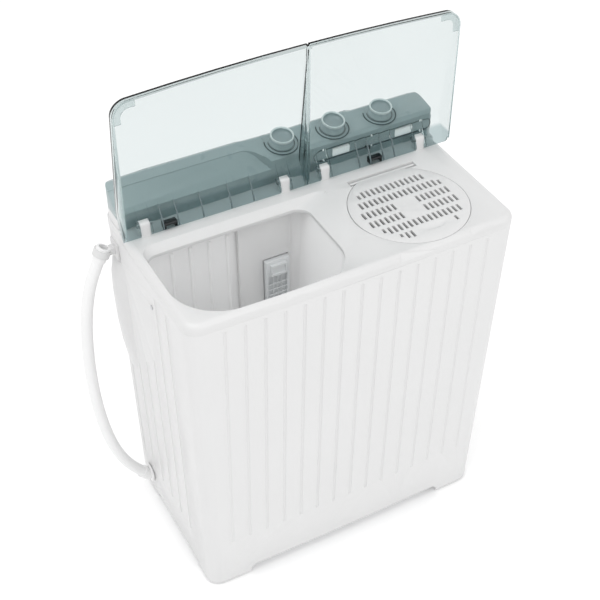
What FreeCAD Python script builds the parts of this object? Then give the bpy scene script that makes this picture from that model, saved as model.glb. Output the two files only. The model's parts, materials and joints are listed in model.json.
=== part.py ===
import FreeCAD, Part
import math
import os

# Portable twin-tub washing machine, in millimetres.
# Origin: centre of the footprint on the floor. +X is the operator's right, +Y the rear, +Z up.
# Wash tub on the left, spin dryer on the right, both lids standing open.

V = FreeCAD.Vector
X_AXIS = V(1, 0, 0)
Y_AXIS = V(0, 1, 0)
Z_AXIS = V(0, 0, 1)

# ---- casing ----
CASE_HALF_W = 300.0      # half width at the seam with the deck
CASE_HALF_D = 165.0      # half depth at the seam
CASE_TAPER = 13.0        # how far each side comes in towards the floor
CASE_BOTTOM = 4.0
SEAM_Z = 650.0           # where the deck sits on the casing
CASE_WALL = 3.2
CORNER_R = 26.0
REAR_CORNER_R = 12.0
FRONT_BOW = 3.5          # the front swells by this much at mid width
FOOT_ARCH_Z = 21.0
FOOT_ARCH_HALF_W = 205.0
SIDE_ARCH_Z = 14.0
SIDE_ARCH_HALF_D = 95.0

# ---- flutes ----
FLUTE_R = 3.6
FLUTE_DEPTH = 2.0
FRONT_FLUTES = 15
FRONT_FLUTE_PITCH = 34.4
FRONT_FLUTE_LOW = 118.0
FRONT_FLUTE_HIGH = 640.0
SIDE_FLUTES = 6
SIDE_FLUTE_FIRST_Y = -74.0
SIDE_FLUTE_PITCH = 42.5
SIDE_FLUTE_LOW = 96.0
SIDE_FLUTE_HIGH = 625.0
GRIP_FLUTES_SHORT = 4    # the rear ones stop below the smooth hand-grip area

# ---- deck ----
DECK_TOP = 669.0
DECK_SKIN = 3.0
DECK_HALF_W = 301.0
DECK_ROUND = 11.0
LIP_Z = 656.0            # bottom of the sloping surround of the wash opening
WASH_X0 = -286.0
WASH_X1 = 7.0
WASH_Y0 = -149.5
WASH_Y1 = 38.0
WASH_RADII = (84.0, 68.0, 26.0, 22.0)     # front left, front right, back right, back left
SLOPE_X0 = -289.5
SLOPE_X1 = 60.0
SLOPE_Y0 = -154.5
SLOPE_Y1 = 50.0
SLOPE_RADII = (88.0, 66.0, 30.0, 25.0)

# ---- spin side ----
SPIN_X = 155.0
SPIN_Y = -54.5
GRILLE_R = 103.0
GRILLE_HINGE_Y = 42.0
GRILLE_HINGE_Z = 665.5
GRILLE_CHORD_Y = 37.5
SPIN_MOUTH_R = 92.0

# ---- lids, hinged on posts ----
HINGE_Y = 80.0
HINGE_Z = 690.0
PIN_R = 3.0
POST_HALF_W = 8.3
POST_TOP_Z = 695.6
NOTCH_HALF_W = 9.3
CHEEK = 2.5
LID_SWING_R = 20.5       # nothing of a lid below its hinge reaches further than this from the axis
WASH_POSTS = (-266.0, -12.0)
SPIN_POSTS = (65.0, 256.0)
LID_HALF_SPAN = 306.0
LID_SPLIT_X = 24.0
LID_SPLIT_GAP = 3.0
LID_WALL = 2.5
LID_BOTTOM_Z = 671.5     # lower edge of the bent wall along the hinge
LID_TOP_Z = 948.0
LID_TOP_DROP = 9.0       # the far edge is this much lower at the outer corners
LID_CORNER_R = 28.0
LID_FREE_Y = 55.0        # plane of the rims' free edges while open
LID_MID_FREE_Y = 60.2    # the two rims at the split are shallower, to clear the deck when shut
LID_BACK_LOW_Y = 97.0    # the leaning outer face, carried down to its low reference height
LID_BACK_HIGH_Y = 66.0   # and at its far end
LID_LEAN_LOW_Z = 680.0
LID_LEAN_TOP_Z = 940.0

# ---- console ----
CONSOLE_X0 = -300.0
CONSOLE_X1 = 300.0
CONSOLE_FRONT_Y = 104.0
CONSOLE_BACK_Y = 168.5
PANEL_SKIN = 3.0
PANEL_LOW_Z = 690.0
PANEL_FRONT_Z = 722.5
PANEL_BACK_Z = 731.5
PANEL_TOP_BACK_Y = 164.0
CONSOLE_END_R = 8.0
CONSOLE_REAR_R = 24.0
APRON_LOW_Z = 670.0      # the panel's front apron reaches down behind the lids
KNOB_XS = (12.0, 111.0, 206.0)
KNOB_Y = 132.0           # where the knob axes cross the panel
KNOB_R = 20.5
KNOB_H = 22.0
SPINDLE_R = 3.0
RING_R_OUT = 27.6
RING_R_IN = 25.8

# ---- wash tub and its drive ----
TUB_X0 = -288.0
TUB_X1 = 9.0
TUB_Y0 = -151.0
TUB_Y1 = 68.0
TUB_WALL = 2.6
TUB_TAPER = 13.0
TUB_FLOOR_Z = 218.0
TUB_RADII = (80.0, 66.0, 20.0, 40.0)
COVER_X0 = -110.0        # the plate over the circulation channel
COVER_X1 = -10.5
COVER_LOW_Z = 232.0
COVER_TOP_Z = 640.0
FILTER_X0 = -63.5
FILTER_X1 = -17.5
FILTER_LOW_Z = 404.0
FILTER_TOP_Z = 550.0
PULS_X = -140.0
PULS_Y = -42.0
PULS_R = 84.0
SHAFT_R = 6.0
RUN_GAP = 0.05
BELT_Z = 132.0
BELT_H = 8.0
WASH_PULLEY_R = 72.0
MOTOR_PULLEY_R = 22.0
WASH_MOTOR_X = 18.0
WASH_MOTOR_R = 48.0

# ---- spin drive ----
SPIN_TUB_R = 104.0
SPIN_TUB_LOW_R = 97.0     # the drum narrows downwards with the casing
SPIN_TUB_WALL = 2.6
BASKET_R = 88.0
BASKET_LOW_Z = 232.0
BASKET_TOP_Z = 640.0
BASKET_WALL = 1.2
DRUM_R = 32.0
SPIN_MOTOR_R = 52.0

# ---- drain ----
VALVE_X = -40.0
VALVE_Y = 100.0
OUTLET_Y = 116.0
OUTLET_Z = 56.0
HOSE_R = 10.5
HOSE_ROUTE = [
    (-308.0, 116.0, 68.0),
    (-322.0, 116.6, 86.0),
    (-337.5, 117.6, 112.0),
    (-351.0, 119.0, 146.0),
    (-362.0, 120.4, 188.0),
    (-370.0, 121.8, 238.0),
    (-375.0, 123.2, 292.0),
    (-377.0, 124.6, 348.0),
    (-376.0, 126.2, 404.0),
    (-372.5, 127.8, 456.0),
    (-366.0, 129.4, 504.0),
    (-356.5, 131.0, 544.0),
    (-344.5, 132.4, 576.0),
    (-332.0, 133.6, 600.0),
]


def box(x0, x1, y0, y1, z0, z1):
    """A box between two corners."""
    return Part.makeBox(x1 - x0, y1 - y0, z1 - z0, V(x0, y0, z0))


def rod(r, start, direction, length):
    """A cylinder from a start point."""
    return Part.makeCylinder(r, length, V(*start), direction)


def tube(r_out, r_in, x, y, z0, z1):
    """An upright hollow cylinder."""
    solid = rod(r_out, (x, y, z0), Z_AXIS, z1 - z0)
    return solid.cut(rod(r_in, (x, y, z0 - 1), Z_AXIS, z1 - z0 + 2))


def fuse(shapes):
    """One solid from touching or overlapping ones."""
    first = shapes[0]
    if len(shapes) > 1:
        first = first.fuse(shapes[1:]).removeSplitter()
    return first


def group(shapes):
    """Several separate solids kept in one node."""
    return Part.makeCompound(shapes)


def turned(points, x, y):
    """A solid of revolution about the vertical line through x, y, from (radius, z) points."""
    wire = Part.makePolygon([V(x + r, y, z) for r, z in points] + [V(x + points[0][0], y, points[0][1])])
    return Part.Face(wire).revolve(V(x, y, 0), Z_AXIS, 360)


def prism_x(points, x0, x1):
    """A prism along X from (y, z) points."""
    wire = Part.makePolygon([V(x0, y, z) for y, z in points] + [V(x0, points[0][0], points[0][1])])
    return Part.Face(wire).extrude(V(x1 - x0, 0, 0))


def outline(x0, x1, y0, y1, radii, z, bow=0.0):
    """A rounded rectangle at height z. Radii: front left, front right, back right, back left."""
    fl, fr, br, bl = radii
    k = 1 - math.sqrt(0.5)
    corners = [
        ((x1 - fr, y0), (x1 - k * fr, y0 + k * fr), (x1, y0 + fr)),
        ((x1, y1 - br), (x1 - k * br, y1 - k * br), (x1 - br, y1)),
        ((x0 + bl, y1), (x0 + k * bl, y1 - k * bl), (x0, y1 - bl)),
        ((x0, y0 + fl), (x0 + k * fl, y0 + k * fl), (x0 + fl, y0)),
    ]
    edges = []
    last = corners[-1][2]
    for number, corner in enumerate(corners):
        a, b = V(*last, z), V(*corner[0], z)
        if number == 0 and bow:
            middle = V((last[0] + corner[0][0]) / 2, y0 - bow, z)
            edges.append(Part.Arc(a, middle, b).toShape())
        else:
            edges.append(Part.LineSegment(a, b).toShape())
        edges.append(Part.Arc(*[V(*p, z) for p in corner]).toShape())
        last = corner[2]
    return Part.Wire(edges)


def plate(wire, height):
    """The flat area inside a wire, thickened upwards."""
    return Part.Face(wire).extrude(V(0, 0, height))


def loft(low, high):
    """A straight-sided solid between two outlines."""
    return Part.makeLoft([low, high], True, True)


def grown(rect, radii, by, z, bow=0.0):
    """An outline moved outwards by a distance."""
    x0, x1, y0, y1 = rect
    return outline(x0 - by, x1 + by, y0 - by, y1 + by, [r + by for r in radii], z, bow)


# ---- casing, base and feet ----
def case_inset(z):
    """How far the casing's sides have come in at height z."""
    return CASE_TAPER * (SEAM_Z - z) / SEAM_Z


def case_wire(z, inset):
    """The casing's outline at height z, moved inwards by a wall or gap. The rear wall is upright."""
    come_in = case_inset(z) + inset
    half_w = CASE_HALF_W - come_in
    radii = [CORNER_R - inset] * 2 + [REAR_CORNER_R - inset] * 2
    return outline(-half_w, half_w, come_in - CASE_HALF_D, CASE_HALF_D - inset, radii, z, FRONT_BOW)


def flute(start, end):
    """A round-bottomed groove with rounded ends."""
    a, b = V(*start), V(*end)
    run = b - a
    body = Part.makeCylinder(FLUTE_R, run.Length, a, run)
    return body.fuse([Part.makeSphere(FLUTE_R, a), Part.makeSphere(FLUTE_R, b)])


def front_flutes():
    """The grooves between the broad ribs of the front."""
    out = []
    proud = FLUTE_R - FLUTE_DEPTH
    for number in range(FRONT_FLUTES):
        x = (number - (FRONT_FLUTES - 1) / 2) * FRONT_FLUTE_PITCH
        swell = FRONT_BOW * (1 - (x / CASE_HALF_W) ** 2)
        ends = []
        for z in (FRONT_FLUTE_LOW, FRONT_FLUTE_HIGH):
            ends.append((x, -CASE_HALF_D + case_inset(z) - swell - proud, z))
        out.append(flute(*ends))
    return out


def side_flutes(side):
    """The grooves of one side. The rear ones stop at the slanting edge of the hand-grip area."""
    out = []
    proud = FLUTE_R - FLUTE_DEPTH
    for number in range(SIDE_FLUTES):
        y = SIDE_FLUTE_FIRST_Y + number * SIDE_FLUTE_PITCH
        high = SIDE_FLUTE_HIGH
        past = number - (SIDE_FLUTES - GRIP_FLUTES_SHORT)
        if past >= 0:
            high = grip_edge_z(y) - 12.0
        ends = []
        for z in (SIDE_FLUTE_LOW, high):
            ends.append((side * (CASE_HALF_W - case_inset(z) + proud), y, z))
        out.append(flute(*ends))
    return out


def grip_edge_z(y):
    """Lower edge of the smooth hand-grip area, falling towards the rear."""
    return 470.0 - 0.95 * (y - 5.0)


GRIP_SWELL = [(340, 0.4), (362, 4.0), (400, 8.5), (455, 12.0)]     # height, how far proud
GRIP_SWELL += [(520, 12.5), (560, 10.5), (582, 6.0), (592, 0.6)]


def grip_pad(side):
    """The smooth swelling at the upper rear of a side, under which hands lift the machine."""
    sections = []
    for z, proud in GRIP_SWELL:
        x = CASE_HALF_W - case_inset(z)
        points = [(x - 1.6, 104), (x + proud * 0.5, 112), (x + proud, 126)]
        points += [(x + proud, 146), (x + proud * 0.6, 153), (x - 1.6, 155)]
        corners = [V(side * px, py, z) for px, py in points]
        sections.append(Part.makePolygon(corners + [corners[0]]))
    return Part.makeLoft(sections, True, True)


def outer_casing():
    """The fluted plastic casing, open at top and bottom, with four corner feet."""
    low, high = CASE_BOTTOM, SEAM_Z
    body = loft(case_wire(low, 0), case_wire(high, 0))
    body = body.cut(loft(case_wire(low - 1, CASE_WALL), case_wire(high + 1, CASE_WALL)))
    body = fuse([body, grip_pad(1), grip_pad(-1)])
    arch = arch_prism(FOOT_ARCH_HALF_W, FOOT_ARCH_Z, 9.0, 200)
    arch.rotate(V(0, 0, 0), Z_AXIS, 90)
    side_arch = arch_prism(SIDE_ARCH_HALF_D, SIDE_ARCH_Z, 6.0, 320)
    rear_hole = box(-235, 235, 130, 200, 95, 598)
    outlet = rod(14.0, (-320, OUTLET_Y, OUTLET_Z), X_AXIS, 60)
    cord = rod(9.0, (GLAND_X, 130, GLAND_Z), Y_AXIS, 60)
    cuts = [arch, side_arch, rear_hole, outlet, cord]
    for side in (1, -1):
        cuts += side_flutes(side)
        cuts.append(rod(2.6, (side * 280, SIDE_SCREW_Y, SIDE_SCREW_Z), V(side, 0, 0), 40))
    for cut in cuts + front_flutes() + [rod(1.95, (x, 140, z), Y_AXIS, 36) for x, z in REAR_SCREWS]:
        body = body.cut(cut)
    return body


def arch_prism(half, top, corner, reach):
    """The space under one pair of walls, between the feet, with cut-off upper corners."""
    points = [(-half, -1), (half, -1), (half, top - corner), (half - corner, top)]
    points += [(corner - half, top), (-half, top - corner)]
    return prism_x(points, -reach, reach)


REAR_SCREWS = [(x, z) for z in (89.0, 270.0, 440.0, 606.0) for x in (-241.0, 241.0)]
REAR_SCREWS += [(0.0, 89.0), (0.0, 606.0)]
REAR_COVER_T = 2.2
GLAND_X = 260.0
GLAND_Z = 100.0
SIDE_SCREW_Y = -14.0
SIDE_SCREW_Z = 597.0


def rear_cover():
    """The pressed cover over the service opening, with vent slots."""
    cover = box(-247, 247, CASE_HALF_D, CASE_HALF_D + REAR_COVER_T, 83, 612)
    cuts = []
    for row in range(6):
        for column in (-2, -1, 0, 1, 2):
            z = 150 + row * 14
            cuts.append(box(column * 62 - 22, column * 62 + 22, 140, 170, z, z + 4))
    for x, z in REAR_SCREWS:
        cuts.append(rod(1.9, (x, 140, z), Y_AXIS, 40))
    return cover.cut(cuts)


def screw(x, y, z, direction, r_shank, length, r_head, h_head):
    """A pan-head screw: the head stands on the point, the shank goes the other way."""
    d = V(*direction)
    head = Part.makeCylinder(r_head, h_head, V(x, y, z), d)
    shank = Part.makeCylinder(r_shank, length, V(x, y, z) - d * length, d)
    return head.fuse(shank).removeSplitter()


def casing_screws():
    """Screws that hold the rear cover, and one on each side that ties the deck to the casing."""
    out = []
    for x, z in REAR_SCREWS:
        y = CASE_HALF_D + REAR_COVER_T + 0.1
        out.append(screw(x, y, z, (0, 1, 0), 1.85, 5.0, 3.6, 1.1))
    for side in (1, -1):
        x = side * (CASE_HALF_W - case_inset(SIDE_SCREW_Z) + 0.1)
        out.append(screw(x, SIDE_SCREW_Y, SIDE_SCREW_Z, (side, 0, 0), 2.5, 8, 4.2, 1.4))
    return group(out)


TRAY_BOTTOM = 18.5


def base_tray():
    """The moulded base inside the casing, with a well at each corner. It carries the motors."""
    low, shelf, high = TRAY_BOTTOM, FOOT_ARCH_Z + 7, 36.0
    gap = CASE_WALL + 0.6
    tray = loft(case_wire(low, gap), case_wire(high, gap))
    cuts = [loft(case_wire(shelf, gap + 3), case_wire(high + 1, gap + 3))]
    arch_half = FOOT_ARCH_HALF_W + 4
    side_half = SIDE_ARCH_HALF_D + 4
    cuts.append(box(-arch_half, arch_half, -200, 200, 0, FOOT_ARCH_Z + 4))
    cuts.append(box(-320, 320, -side_half, side_half, 0, SIDE_ARCH_Z + 3))
    for x in (-arch_half - 66, arch_half + 4):
        for y in (-side_half - 36, side_half + 4):
            cuts.append(box(x, x + 62, y, y + 32, low + 3, shelf + 1))
    return tray.cut(cuts)


def foot_pads():
    """Rubber pads on short stems under the tray's four corners."""
    out = []
    for x in (-250, 250):
        for y in (-122, 122):
            profile = [(0, 0), (14, 0), (16, 2), (16, 6), (11, 10), (11, TRAY_BOTTOM), (0, TRAY_BOTTOM)]
            out.append(turned(profile, x, y))
    return group(out)


# ---- deck ----
def post(x):
    """A hinge post with a bore for the lid's pin."""
    front, back, low, top = HINGE_Y - 8.5, HINGE_Y + 6.5, DECK_TOP - 2, POST_TOP_Z
    points = [(front, low), (front, top - 5), (front + 1.2, top - 1.8), (front + 4, top)]
    points += [(back - 3, top), (back, top - 3), (back, low)]
    return prism_x(points, x - POST_HALF_W, x + POST_HALF_W)


def deck_shell():
    """The skin of the deck before its openings."""
    rect = (-DECK_HALF_W, DECK_HALF_W, -CASE_HALF_D, CASE_HALF_D)
    radii = [CORNER_R + 1] * 2 + [REAR_CORNER_R + 1] * 2
    block = plate(grown(rect, radii, 0, SEAM_Z, FRONT_BOW), DECK_TOP - SEAM_Z)
    crown = [e for e in block.Edges if e.BoundBox.ZMin > DECK_TOP - 0.1]
    soft = block.makeFillet(DECK_ROUND, crown)
    back = block.common(box(-400, 400, 100, 200, 600, 700))
    skin = soft.fuse(back)
    inner_top = DECK_TOP - DECK_SKIN
    skin = skin.cut(plate(grown(rect, radii, -DECK_SKIN, SEAM_Z - 1, FRONT_BOW), inner_top - SEAM_Z - 8))
    upper = grown(rect, radii, -DECK_SKIN, inner_top - 9.0, FRONT_BOW)
    return skin.cut(loft(upper, grown(rect, radii, -DECK_ROUND, inner_top, FRONT_BOW)))


def top_deck():
    """The moulded deck: wash opening with its sloping surround, spin well and hinge posts."""
    wash = (WASH_X0, WASH_X1, WASH_Y0, WASH_Y1)
    slope = (SLOPE_X0, SLOPE_X1, SLOPE_Y0, SLOPE_Y1)
    tub = (TUB_X0, TUB_X1, TUB_Y0, TUB_Y1)
    solids = [deck_shell()]
    solids.append(plate(grown(wash, WASH_RADII, 3, SEAM_Z, 2), LIP_Z - SEAM_Z))
    solids.append(loft(grown(wash, WASH_RADII, 3, LIP_Z, 2), grown(slope, SLOPE_RADII, 1.5, DECK_TOP, 2)))
    solids.append(plate(grown(tub, TUB_RADII, 3, SEAM_Z), 3.0))
    solids.append(rod(GRILLE_R + 4, (SPIN_X, SPIN_Y, 660), Z_AXIS, DECK_TOP - 662))
    solids.append(tube(SPIN_TUB_R + 1.0, SPIN_MOUTH_R, SPIN_X, SPIN_Y, SEAM_Z, 661))
    solids.append(box(86, 235, 26, 52, 658, DECK_TOP - 1))
    solids += [post(x) for x in WASH_POSTS + SPIN_POSTS]
    cuts = [
        plate(grown(wash, WASH_RADII, 0, SEAM_Z - 1, 2), LIP_Z - SEAM_Z + 1),
        loft(grown(wash, WASH_RADII, 0, LIP_Z, 2), grown(slope, SLOPE_RADII, 0, DECK_TOP + 0.05, 2)),
        rod(GRILLE_R + 1, (SPIN_X, SPIN_Y, 663), Z_AXIS, 20).common(box(0, 300, -200, 41, 600, 700)),
        rod(SPIN_MOUTH_R, (SPIN_X, SPIN_Y, 640), Z_AXIS, 40),
        box(94, 227, 34, 49, 661, 680),
        rod(1.85, (89, GRILLE_HINGE_Y, GRILLE_HINGE_Z), X_AXIS, 143),
        box(85, 250, 112, 152, 640, 680),
    ]
    for x in WASH_POSTS + SPIN_POSTS:
        cuts.append(rod(PIN_R + RUN_GAP, (x - 20, HINGE_Y, HINGE_Z), X_AXIS, 40))
    for step in range(5):
        x = 12 + step * 8.5
        cuts.append(box(x, x + 4.5, 16 + step * 3, 44, DECK_TOP - 1.2, DECK_TOP + 1))
    return fuse(solids).cut(cuts)


# ---- lids ----
def lid_outline(x0, x1, z0):
    """Front view of an open lid between two sides: rounded outer corner and bowed far edge."""
    def top(x):
        return LID_TOP_Z - LID_TOP_DROP * (x / (LID_HALF_SPAN - LID_CORNER_R)) ** 2
    left_outer = abs(x0) > abs(x1)
    r = LID_CORNER_R - (LID_HALF_SPAN - max(abs(x0), abs(x1)))
    k = 1 - math.sqrt(0.5)
    shrink = LID_HALF_SPAN - max(abs(x0), abs(x1))
    outer, inner = (x0, x1) if left_outer else (x1, x0)
    sign = -1 if left_outer else 1
    bend = outer - sign * r
    z_bend = top(bend) - shrink
    z_inner = top(inner) - shrink
    middle = (bend + inner) / 2
    p = [V(outer, 0, z0), V(outer, 0, z_bend - r), V(outer - sign * k * r, 0, z_bend - k * r)]
    p += [V(bend, 0, z_bend), V(middle, 0, top(middle) - shrink), V(inner, 0, z_inner), V(inner, 0, z0)]
    edges = [Part.LineSegment(p[0], p[1]).toShape(), Part.Arc(p[1], p[2], p[3]).toShape()]
    edges.append(Part.Arc(p[3], p[4], p[5]).toShape())
    edges.append(Part.LineSegment(p[5], p[6]).toShape())
    edges.append(Part.LineSegment(p[6], p[0]).toShape())
    return Part.Wire(edges)


def lid_back_y(z):
    """Where the lid's leaning outer face is at height z."""
    lean = (LID_BACK_HIGH_Y - LID_BACK_LOW_Y) / (LID_LEAN_TOP_Z - LID_LEAN_LOW_Z)
    return LID_BACK_LOW_Y + lean * (z - LID_LEAN_LOW_Z)


def moved_line(points, distance):
    """A line of (y, z) points moved sideways, to the left of the way it runs."""
    normals = []
    for (y0, z0), (y1, z1) in zip(points, points[1:]):
        length = math.hypot(y1 - y0, z1 - z0)
        normals.append(((z0 - z1) / length, (y1 - y0) / length))
    out = []
    for number, (y, z) in enumerate(points):
        before, after = normals[max(0, number - 1)], normals[min(number, len(normals) - 1)]
        k = distance / (1 + before[0] * after[0] + before[1] * after[1])
        out.append((y + k * (before[0] + after[0]), z + k * (before[1] + after[1])))
    return out


def under_lean(inset):
    """The space in front of the lid's outer face: a wall at the hinge, a bend, then the leaning face."""
    line = [(47.0, LID_BOTTOM_Z - 60), (81.4, 697.5), (84.6, 702.6), (88.3, 707.0), (91.0, 711.8)]
    line += [(92.2, 717.0), (lid_back_y(726.0), 726.0), (lid_back_y(LID_TOP_Z + 20), LID_TOP_Z + 20)]
    line = moved_line(line, inset)
    return prism_x([(0, line[0][1])] + line + [(0, line[-1][1])], -400, 400)


def lid_block(x0, x1, z0, y0, inset):
    """The solid wedge inside a lid's outline."""
    slab = Part.Face(lid_outline(x0, x1, z0)).extrude(V(0, 120, 0))
    slab.translate(V(0, y0, 0))
    return slab.common(under_lean(inset))


def lid_web(x0, width):
    """An upright web inside the bend of a lid."""
    points = [(90.6, 724), (91.1, 717), (90.0, 712), (87.3, 707.6), (83.7, 703.4), (80.4, 698), (70.4, 673)]
    points += [(67.2, 675.5), (66.5, 680), (70.5, 690), (77.5, 701), (86, 712)]
    return prism_x(points, x0, x0 + width)


def lid_cheek(x0):
    """The web beside a notch, with a boss that holds the end of a hinge pin."""
    return lid_web(x0, CHEEK).fuse(rod(5.2, (x0, HINGE_Y, HINGE_Z), X_AXIS, CHEEK))


def lid(x0, x1, posts, ribs, stop_x):
    """One see-through lid in its open position."""
    w = LID_WALL
    shell = lid_block(x0, x1, LID_BOTTOM_Z, LID_FREE_Y, 0)
    shell = shell.cut(lid_block(x0 + w, x1 - w, LID_BOTTOM_Z - 50, LID_FREE_Y - 10, w))
    parts = [shell] + [lid_web(x - 1.0, 2.0) for x in ribs]
    for x in posts:
        parts += [lid_cheek(x - NOTCH_HALF_W - CHEEK), lid_cheek(x + NOTCH_HALF_W)]
    body = fuse(parts)
    cuts = [stop_block(stop_x, LID_BOTTOM_Z - 3)]
    half = NOTCH_HALF_W + CHEEK
    for x in posts:
        cuts.append(box(x - NOTCH_HALF_W, x + NOTCH_HALF_W, 40, 120, 640, HINGE_Z + 9))
        cuts.append(rod(PIN_R, (x - half, HINGE_Y, HINGE_Z), X_AXIS, 2 * half))
    split = x1 if abs(x1) < abs(x0) else x0
    cuts.append(box(split - w, split + w, LID_FREE_Y - 5, LID_MID_FREE_Y, 600, LID_TOP_Z - 6))
    corner = box(x0 - 5, x1 + 5, LID_FREE_Y - 5, HINGE_Y, LID_BOTTOM_Z - 5, HINGE_Z)
    cuts.append(corner.cut(rod(LID_SWING_R, (x0 - 6, HINGE_Y, HINGE_Z), X_AXIS, x1 - x0 + 12)))
    return body.cut(cuts)


def stop_block(x, low):
    """The outline of the dark block set into a lid's hinge edge."""
    return box(x - 12, x + 12, 71, 82, low, 683)


def lid_stop(x):
    """The dark block at the hinge edge of a lid, hollow towards the front."""
    return stop_block(x, 672.3).cut(box(x - 8, x + 8, 70, 77.5, 671, 680))


WASH_LID_X = (-LID_HALF_SPAN, LID_SPLIT_X - LID_SPLIT_GAP / 2)
SPIN_LID_X = (LID_SPLIT_X + LID_SPLIT_GAP / 2, LID_HALF_SPAN)
WASH_RIBS = (-236.0, -209.0, -165.0, -114.0, -73.0)
SPIN_RIBS = (131.0, 153.0, 179.0, 201.0)
WASH_STOP_X = -222.5
SPIN_STOP_X = 166.0
SWITCH_Z = 687.0         # height of the safety switch's button


def lid_pins(posts):
    """The two hinge pins of a lid."""
    half = NOTCH_HALF_W + CHEEK
    return group([rod(PIN_R, (x - half, HINGE_Y, HINGE_Z), X_AXIS, 2 * half) for x in posts])


GRILLE_ROWS = (4.0, -22.0, -48.0, -74.0, -100.0, -124.0)
GRILLE_FIELD_R = 90.0
SLOT_W = 4.8
SLOT_L = 17.0


def grille_slots():
    """Rows of short slots inside a circle, left out at the blank centre and the finger recess."""
    out = []
    for number, y in enumerate(GRILLE_ROWS):
        for column in range(-9, 10):
            x = 3.0 + column * 9.6
            blank = number in (2, 3) and abs(x - 2) < 20
            recess = number >= 4 and abs(x - 8) < 40 and y < -110
            inside = GRILLE_FIELD_R ** 2 - (abs(x) + SLOT_W / 2) ** 2
            if blank or recess or inside <= 0:
                continue
            reach = math.sqrt(inside)
            low = max(y - SLOT_L / 2, SPIN_Y - reach)
            high = min(y + SLOT_L / 2, SPIN_Y + reach)
            if high - low > SLOT_W * 0.8:
                left = SPIN_X + x - SLOT_W / 2
                out.append(box(left, left + SLOT_W, low, high, 660, 672))
    return out


def spin_grille_lid():
    """The round inner lid of the spin dryer, with a hinge barrel at its rear chord."""
    top = DECK_TOP
    disc = rod(GRILLE_R, (SPIN_X, SPIN_Y, top - 3), Z_AXIS, 3)
    rim = tube(GRILLE_R, GRILLE_R - 2.5, SPIN_X, SPIN_Y, top - 5.2, top - 2)
    rim = rim.common(box(0, 400, -300, 28, 600, 700))
    disc = disc.common(box(0, 400, -300, GRILLE_CHORD_Y, 600, 700))
    barrel = rod(2.6, (97, GRILLE_HINGE_Y, GRILLE_HINGE_Z), X_AXIS, 127)
    pin = rod(1.8, (90, GRILLE_HINGE_Y, GRILLE_HINGE_Z), X_AXIS, 141)
    web = box(116, 194, GRILLE_CHORD_Y - 3, GRILLE_HINGE_Y, top - 3, top - 1.2)
    field = rod(GRILLE_FIELD_R + 1.5, (SPIN_X, SPIN_Y, top - 5.2), Z_AXIS, 3.0)
    field = field.common(box(0, 400, -300, 26, 600, 700))
    boss = rod(36, (SPIN_X + 8, SPIN_Y - 58, top - 5.2), Z_AXIS, 4)
    boss = boss.common(rod(GRILLE_R - 1, (SPIN_X, SPIN_Y, 600), Z_AXIS, 100))
    body = fuse([disc, rim, barrel, pin, web, boss, field])
    return body.cut(grille_slots() + [finger_recess()])


def finger_recess():
    """The space of a boat-shaped hollow near the front of the grille lid."""
    arc = Part.Arc(V(-40, 0, 0), V(0, 14, 0), V(40, 0, 0)).toShape()
    keel = Part.Face(Part.Wire([arc, Part.LineSegment(V(40, 0, 0), V(-40, 0, 0)).toShape()]))
    boat = keel.revolve(V(0, 0, 0), X_AXIS, 360)
    boat.translate(V(SPIN_X + 8, SPIN_Y - 67, DECK_TOP + 10.4))
    return boat


# ---- console ----
def console_profile(inset, low_z, back_y, front_y):
    """Side view of the console: front skirt, gently rising top, rounded rear."""
    i = inset
    p = [
        (front_y + i, low_z),
        (front_y + i, PANEL_FRONT_Z - 6 - i * 0.4),
        (front_y + 6 + i * 0.6, PANEL_FRONT_Z - i),
        (PANEL_TOP_BACK_Y - 6, PANEL_BACK_Z - i),
        (PANEL_TOP_BACK_Y + 3 - i * 0.6, PANEL_BACK_Z - 4 - i * 0.8),
        (back_y - i, PANEL_BACK_Z - 14 - i),
        (back_y - i, low_z),
    ]
    return p


def console_block(inset, low_z, rear_extra=0.0):
    """The console's outer form, shrunk evenly."""
    x0, x1 = CONSOLE_X0 + inset, CONSOLE_X1 - inset
    body = prism_x(console_profile(inset, low_z, CONSOLE_BACK_Y, CONSOLE_FRONT_Y), x0, x1)
    r = CONSOLE_END_R - inset
    rear_r = CONSOLE_REAR_R - inset
    radii = (r, r, rear_r, rear_r)
    plan = outline(x0, x1, CONSOLE_FRONT_Y + inset, CONSOLE_BACK_Y - inset + rear_extra, radii, 600)
    return body.common(plate(plan, 200))


def scoop(extra):
    """What is cut away at the left front of the console's top, leaving a lower slope with a curved end."""
    x0 = CONSOLE_X0 - 10
    z_low, z_high = 700.0 - extra, 733.0 - extra
    side = [(90, z_low - 4), (CONSOLE_FRONT_Y, z_low), (150, z_high + 2), (150, 760), (90, 760)]
    wedge = prism_x(side, x0, extra - 8.0)
    curve = [(-8, 90), (-24, 107), (-36, 122), (-46, 133), (-62, 139)]
    b, p1, p2, p3, c = [V(x + extra, y + extra * 0.5, 600) for x, y in curve]
    b = V(b.x, 90, 600)
    a, d = V(x0, 90, 600), V(x0, c.y, 600)
    sides = [Part.LineSegment(a, b).toShape(), Part.Arc(b, p1, p2).toShape(), Part.Arc(p2, p3, c).toShape()]
    sides += [Part.LineSegment(c, d).toShape(), Part.LineSegment(d, a).toShape()]
    plan = Part.Face(Part.Wire(sides)).extrude(V(0, 0, 300))
    return wedge.common(plan)


def knob_frame(x):
    """Where a knob's axis crosses the panel, and the axis direction, square to the panel."""
    rise = math.atan2(PANEL_BACK_Z - PANEL_FRONT_Z, PANEL_TOP_BACK_Y - 6 - CONSOLE_FRONT_Y - 6)
    axis = V(0, -math.sin(rise), math.cos(rise))
    z = PANEL_FRONT_Z + math.tan(rise) * (KNOB_Y - CONSOLE_FRONT_Y - 6)
    return V(x, KNOB_Y, z), axis


def along(x, r, start, length):
    """A cylinder on a knob's axis, starting at a distance from the panel face."""
    centre, axis = knob_frame(x)
    return Part.makeCylinder(r, length, centre + axis * start, axis)


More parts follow.
